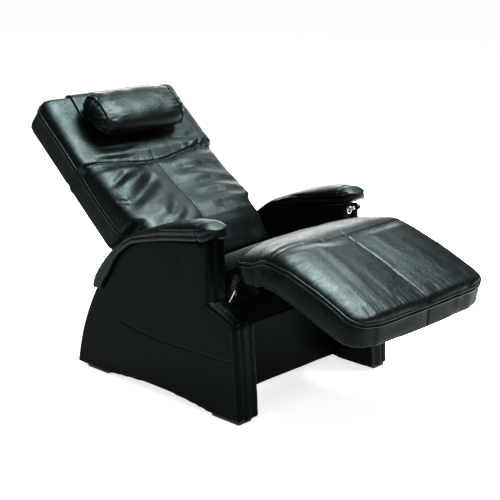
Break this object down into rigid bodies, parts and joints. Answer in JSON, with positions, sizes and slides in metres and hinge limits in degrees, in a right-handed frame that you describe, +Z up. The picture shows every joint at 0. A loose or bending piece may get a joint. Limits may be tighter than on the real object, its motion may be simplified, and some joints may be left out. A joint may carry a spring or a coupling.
{
  "type": "reclining leather armchair",
  "caption": "Low padded armchair whose seat, tall back and leg rest tilt together between solid side panels, with a sliding head pillow and a release lever under the arm rest.",
  "frame": {"origin": "on the floor under the middle of the chair's bounding box, in the reclined pose it is stored in", "axes": "+X towards the sitter's left arm, +Y towards the top of the back, so the sitter faces -Y, +Z up"},
  "size_m": [0.723, 1.4187, 0.839],
  "materials": {
    "black_leather": "satin",
    "padded_leather": "satin",
    "plywood": "satin",
    "black_steel": "satin",
    "chrome": "polished",
    "zinc_steel": "satin",
    "black_plastic": "matte",
    "gloss_black": "gloss"
  },
  "bodies": {
    "base": {"left_side_cover": "black_leather", "right_side_cover": "black_leather", "left_side_frame": "plywood", "right_side_frame": "plywood", "left_arm_pad": "padded_leather", "right_arm_pad": "padded_leather", "left_arm_board": "plywood", "right_arm_board": "plywood", "left_pivot_plate": "black_steel", "right_pivot_plate": "black_steel", "front_glides": "black_plastic", "rear_glides": "black_plastic", "front_cross_panel": "black_leather", "rear_cross_panel": "black_leather", "front_cross_tube": "black_steel", "rear_cross_tube": "black_steel", "pivot_pins": "zinc_steel", "plate_screws": "zinc_steel", "gas_anchor_ears": "black_steel", "gas_anchor_pin": "zinc_steel", "lever_escutcheon": "chrome"},
    "seat": {"left_seat_rail": "black_steel", "right_seat_rail": "black_steel", "left_rocker_arm": "chrome", "right_rocker_arm": "chrome", "left_seat_strut": "black_steel", "right_seat_strut": "black_steel", "left_side_flap": "black_leather", "right_side_flap": "black_leather", "seat_cross_tubes": "black_steel", "seat_board": "plywood", "seat_cushion": "padded_leather", "rocker_arm_caps": "black_plastic", "rocker_arm_spacers": "black_steel", "knee_pins": "zinc_steel", "hip_pins": "zinc_steel", "gas_rod_ears": "black_steel", "gas_rod_pin": "zinc_steel"},
    "back": {"left_back_lug": "black_steel", "right_back_lug": "black_steel", "left_back_tube": "black_steel", "right_back_tube": "black_steel", "back_cross_bars": "black_steel", "lower_back_shell": "black_leather", "upper_back_panel": "black_leather", "lumbar_cushion": "padded_leather", "upper_back_cushion": "padded_leather", "pillow_strap": "black_leather"},
    "legrest": {"left_leg_arm": "black_steel", "right_leg_arm": "black_steel", "leg_board": "plywood", "leg_cushion": "padded_leather"},
    "gas_cylinder": {"gas_cylinder": "black_steel"},
    "gas_rod": {"gas_rod": "chrome"},
    "lever": {"lever_stem": "chrome", "lever_knob": "gloss_black"},
    "pillow": {"head_pillow": "padded_leather"},
    "counterweight": {"pillow_counterweight": "black_leather"}
  },
  "joints": [
    {"name": "seat_tilt", "type": "hinge", "parent": "base", "child": "seat", "pos_m": [0, -0.013, 0.2], "axis": [1, 0, 0], "range_deg": [-6, 14]},
    {"name": "back_recline", "type": "hinge", "parent": "seat", "child": "back", "pos_m": [0, 0.12396, 0.26097], "axis": [1, 0, 0], "range_deg": [-7.8, 18.1]},
    {"name": "leg_lift", "type": "hinge", "parent": "seat", "child": "legrest", "pos_m": [0, -0.351, 0.415], "axis": [1, 0, 0], "range_deg": [-10.3, 23.9]},
    {"name": "gas_spring_swing", "type": "hinge", "parent": "base", "child": "gas_cylinder", "pos_m": [0, 0.247, 0.15], "axis": [1, 0, 0], "range_deg": [-2.45, 5.65]},
    {"name": "gas_rod_slide", "type": "slide", "parent": "gas_cylinder", "child": "gas_rod", "axis": [0, -0.8991, 0.4377], "range_m": [-0.0066, 0.0152]},
    {"name": "lever_press", "type": "hinge", "parent": "base", "child": "lever", "pos_m": [0.288, -0.185, 0.509], "axis": [1, 0, 0], "range_deg": [0, 18], "stiffness_Nm_per_rad": 0.6, "springref_deg": -6.88},
    {"name": "pillow_slide", "type": "slide", "parent": "back", "child": "pillow", "axis": [0, 0.7547, 0.6561], "range_m": [-0.06, 0.03]},
    {"name": "counterweight_slide", "type": "slide", "parent": "back", "child": "counterweight", "axis": [0, 0.7547, 0.6561], "range_m": [-0.031, 0.061]}
  ],
  "couplings": [
    {"joint": "back_recline", "follows": "seat_tilt", "ratio": 1.2857},
    {"joint": "leg_lift", "follows": "seat_tilt", "ratio": 1.7},
    {"joint": "gas_spring_swing", "follows": "seat_tilt", "ratio": 0.397},
    {"joint": "gas_rod_slide", "follows": "seat_tilt", "m_per_rad": 0.0616},
    {"joint": "counterweight_slide", "follows": "pillow_slide", "ratio": -1}
  ]
}
